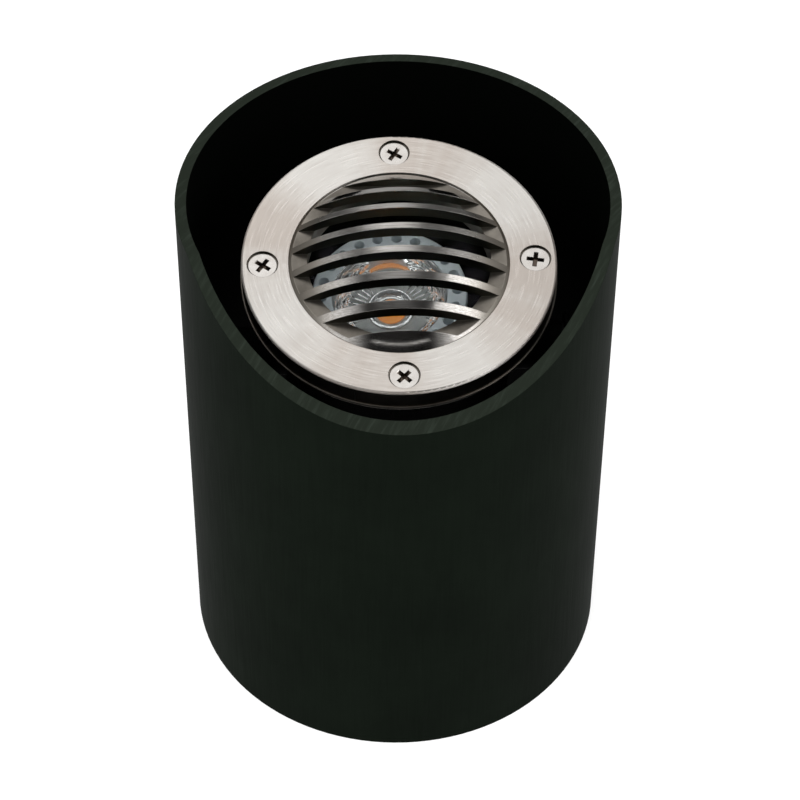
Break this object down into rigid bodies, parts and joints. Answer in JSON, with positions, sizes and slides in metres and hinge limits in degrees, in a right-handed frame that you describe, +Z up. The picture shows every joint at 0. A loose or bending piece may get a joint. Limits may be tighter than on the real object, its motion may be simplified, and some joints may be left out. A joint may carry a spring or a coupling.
{
  "type": "well light",
  "caption": "In-ground well light: louvred steel face and reflector lamp in a cast head that tilts on side pivots inside a slope-cut black pipe sleeve.",
  "frame": {"origin": "middle of the sleeve's bottom, on the plane it stands on", "axes": "+Z up along the sleeve, -Y towards the low side of the sloping cut, X along the tilt pivots"},
  "size_m": [0.14, 0.14, 0.1875],
  "materials": {
    "sleeve_plastic": "extruded, satin",
    "coated_steel": "black powder coat",
    "dark_steel": "black zinc",
    "black_nylon": "moulded",
    "face_steel": "satin brushed casting",
    "screw_steel": "bright",
    "seal_rubber": "matt",
    "clear_glass": "toughened",
    "cast_housing": "black powder coat",
    "lamp_metal": "satin",
    "clear_optic": "clear moulded",
    "phosphor": "silicone",
    "board_white": "white solder mask",
    "white_plastic": "moulded",
    "pin_metal": "nickel plated",
    "holder_ceramic": "unglazed",
    "strap_steel": "zinc plated",
    "lead_cover": "silicone"
  },
  "bodies": {
    "sleeve": {"sleeve": "sleeve_plastic", "yoke": "coated_steel", "yoke_screws": "dark_steel", "yoke_nuts": "dark_steel"},
    "head": {"pivot_screws": "dark_steel", "pivot_washers": "black_nylon", "pivot_springs": "dark_steel", "face_grille": "face_steel", "face_screws": "screw_steel", "face_gasket": "seal_rubber", "lens": "clear_glass", "lens_seal": "seal_rubber", "housing": "cast_housing", "lamp_heat_sink": "lamp_metal", "lamp_optic": "clear_optic", "lamp_led": "phosphor", "lamp_board": "board_white", "lamp_base": "white_plastic", "lamp_pins": "pin_metal", "lamp_socket": "holder_ceramic", "socket_screws": "screw_steel", "socket_bracket": "strap_steel", "terminal_block": "white_plastic", "terminal_screws": "pin_metal", "lead_wires": "lead_cover", "floor_screws": "screw_steel", "gland_body": "black_nylon", "gland_washer": "seal_rubber", "gland_locknut": "black_nylon", "gland_seal": "seal_rubber", "gland_nut": "black_nylon"}
  },
  "joints": [
    {"name": "head_tilt", "type": "hinge", "parent": "sleeve", "child": "head", "pos_m": [0, 0, 0.1208], "axis": [1, 0, 0], "range_deg": [-33, 11]}
  ]
}
